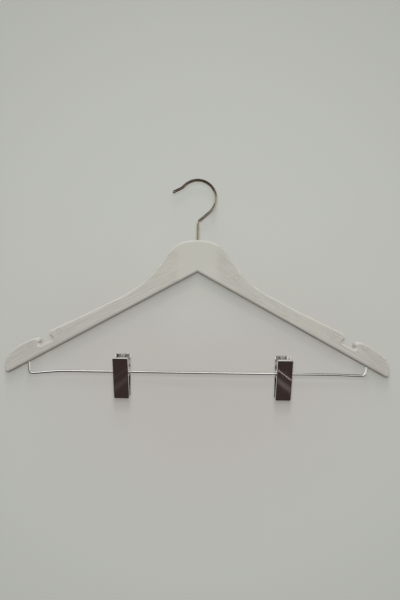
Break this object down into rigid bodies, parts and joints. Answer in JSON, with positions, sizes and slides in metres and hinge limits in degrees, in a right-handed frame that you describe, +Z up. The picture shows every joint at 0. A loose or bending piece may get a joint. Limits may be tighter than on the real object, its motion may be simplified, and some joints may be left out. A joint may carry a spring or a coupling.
{
  "type": "skirt hanger",
  "caption": "Flat wooden hanger with strap notches and raised tips, a swivelling wire hook, and a wire bar below that carries sliding sprung clips with padded jaws for skirts or trousers.",
  "frame": {"origin": "top of the inside of the hook, straight above its stem, where the rail bears", "axes": "+Z up, +X across the shoulders to the right as seen from the front, the front faces -Y"},
  "size_m": [0.445, 0.0212, 0.2578],
  "materials": {
    "painted_wood": "thin white paint over open grain",
    "bare_wood": "bare, glued in",
    "hook_metal": "satin nickel plate",
    "bush_metal": "turned",
    "bar_metal": "bright drawn wire",
    "clip_metal": "bright plated pressing",
    "pad_rubber": "matt",
    "spring_metal": "spring wire"
  },
  "bodies": {
    "hook": {"hook": "hook_metal"},
    "hanger": {"left_shoulder": "painted_wood", "right_shoulder": "painted_wood", "shoulder_dowels": "bare_wood", "hook_bush": "bush_metal", "clip_bar": "bar_metal"},
    "left_slider": {"left_pivot_sleeve": "clip_metal"},
    "left_back": {"left_back_jaw": "clip_metal", "left_back_pad": "pad_rubber", "left_spring": "spring_metal"},
    "left_front": {"left_front_jaw": "clip_metal", "left_front_pad": "pad_rubber"},
    "right_slider": {"right_pivot_sleeve": "clip_metal"},
    "right_back": {"right_back_jaw": "clip_metal", "right_back_pad": "pad_rubber", "right_spring": "spring_metal"},
    "right_front": {"right_front_jaw": "clip_metal", "right_front_pad": "pad_rubber"}
  },
  "joints": [
    {"name": "hook_swivel", "type": "hinge", "parent": "hook", "child": "hanger", "pos_m": [0, 0, -0.0697], "axis": [0, 0, 1], "continuous": true},
    {"name": "left_clip_slide", "type": "slide", "parent": "hanger", "child": "left_slider", "axis": [1, 0, 0], "range_m": [-0.0588, 0.077]},
    {"name": "left_clip_swing", "type": "hinge", "parent": "left_slider", "child": "left_back", "pos_m": [-0.087, 0, -0.2231], "axis": [1, 0, 0], "continuous": true},
    {"name": "left_clip_squeeze", "type": "hinge", "parent": "left_back", "child": "left_front", "pos_m": [-0.087, 0, -0.2231], "axis": [-1, 0, 0], "range_deg": [0, 32], "stiffness_Nm_per_rad": 0.08, "springref_deg": -28.65, "deforming": ["left_spring"]},
    {"name": "right_clip_slide", "type": "slide", "parent": "hanger", "child": "right_slider", "axis": [1, 0, 0], "range_m": [-0.0915, 0.0443]},
    {"name": "right_clip_swing", "type": "hinge", "parent": "right_slider", "child": "right_back", "pos_m": [0.1015, 0, -0.2231], "axis": [1, 0, 0], "continuous": true},
    {"name": "right_clip_squeeze", "type": "hinge", "parent": "right_back", "child": "right_front", "pos_m": [0.1015, 0, -0.2231], "axis": [-1, 0, 0], "range_deg": [0, 32], "stiffness_Nm_per_rad": 0.08, "springref_deg": -28.65, "deforming": ["right_spring"]}
  ]
}
